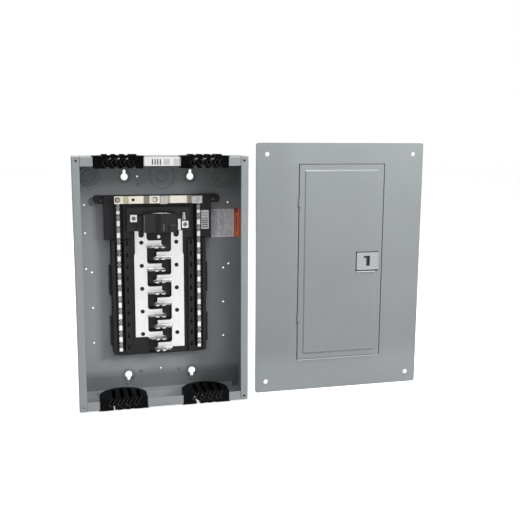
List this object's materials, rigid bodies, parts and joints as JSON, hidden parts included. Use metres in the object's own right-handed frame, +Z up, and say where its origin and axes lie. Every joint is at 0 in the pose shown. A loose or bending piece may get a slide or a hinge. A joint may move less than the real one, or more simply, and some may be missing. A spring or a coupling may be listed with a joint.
{
  "type": "residential load center",
  "caption": "Flush-mount residential load center: grey steel enclosure with bus bars, stabs and neutral bars, and its separate cover with a hinged, latched door.",
  "frame": {"origin": "centre of the enclosure's back face, which goes against the wall", "axes": "+X to the right seen from the front, +Y into the wall, +Z up"},
  "size_m": [0.7824, 0.0953, 0.5637],
  "materials": {
    "enamel": "satin light grey baked enamel",
    "tinned_bus": "tin-plated, satin",
    "neutral_metal": "tin-plated, dull",
    "strap_metal": "ivory-toned plated strap, satin",
    "black_plastic": "moulded black, soft sheen",
    "latch_plastic": "moulded light grey",
    "screw_steel": "zinc-plated",
    "white_label": "printed label, matt",
    "orange_label": "orange-red printed label",
    "card": "plain ruled card"
  },
  "bodies": {
    "enclosure": {"box_shell": "enamel", "top_endwall": "enamel", "bottom_endwall": "enamel", "cable_grip_top_left": "black_plastic", "cable_grip_top_right": "black_plastic", "cable_grip_bottom_left": "black_plastic", "cable_grip_bottom_right": "black_plastic", "stab_base": "black_plastic", "lug_base": "black_plastic", "lug_barrier": "black_plastic", "bus_bar_left": "tinned_bus", "bus_bar_right": "tinned_bus", "main_lug_left": "neutral_metal", "main_lug_right": "neutral_metal", "neutral_bar_left": "neutral_metal", "neutral_bar_right": "neutral_metal", "neutral_strap": "strap_metal", "neutral_lug": "neutral_metal", "interior_screw_left": "screw_steel", "interior_screw_right": "screw_steel", "interior_screw_middle": "screw_steel", "endwall_label": "white_label", "interior_label": "white_label", "wiring_label": "white_label", "caution_label": "orange_label"},
    "cover": {"cover_trim": "enamel", "deadfront": "enamel", "hinge_pin_upper": "screw_steel", "hinge_pin_lower": "screw_steel"},
    "door": {"door": "enamel", "latch_housing": "latch_plastic", "directory_card": "card"},
    "latch": {"latch_slide": "latch_plastic"},
    "left_lug_screw": {"main_lug_screw_left": "screw_steel"},
    "right_lug_screw": {"main_lug_screw_right": "screw_steel"},
    "neutral_screw": {"neutral_lug_screw": "screw_steel"},
    "bonding": {"bonding_screw": "screw_steel"}
  },
  "joints": [
    {"name": "cover_lift_off", "type": "slide", "parent": "enclosure", "child": "cover", "axis": [0, -1, 0], "range_m": [0, 0.2]},
    {"name": "door_hinge", "type": "hinge", "parent": "cover", "child": "door", "pos_m": [0.3072, -0.0489, 0.0119], "axis": [0, 0, -1], "range_deg": [0, 115]},
    {"name": "latch_pull", "type": "slide", "parent": "door", "child": "latch", "axis": [-1, 0, 0], "range_m": [0, 0.006], "stiffness_N_per_m": 300, "springref_m": -0.004},
    {"name": "left_lug_screw_travel", "type": "slide", "parent": "enclosure", "child": "left_lug_screw", "axis": [0, -1, 0], "range_m": [0, 0.006]},
    {"name": "right_lug_screw_travel", "type": "slide", "parent": "enclosure", "child": "right_lug_screw", "axis": [0, -1, 0], "range_m": [0, 0.006]},
    {"name": "neutral_lug_screw_travel", "type": "slide", "parent": "enclosure", "child": "neutral_screw", "axis": [0, -1, 0], "range_m": [0, 0.003]},
    {"name": "bonding_screw_travel", "type": "slide", "parent": "enclosure", "child": "bonding", "axis": [0, -1, 0], "range_m": [0, 0.01]}
  ]
}
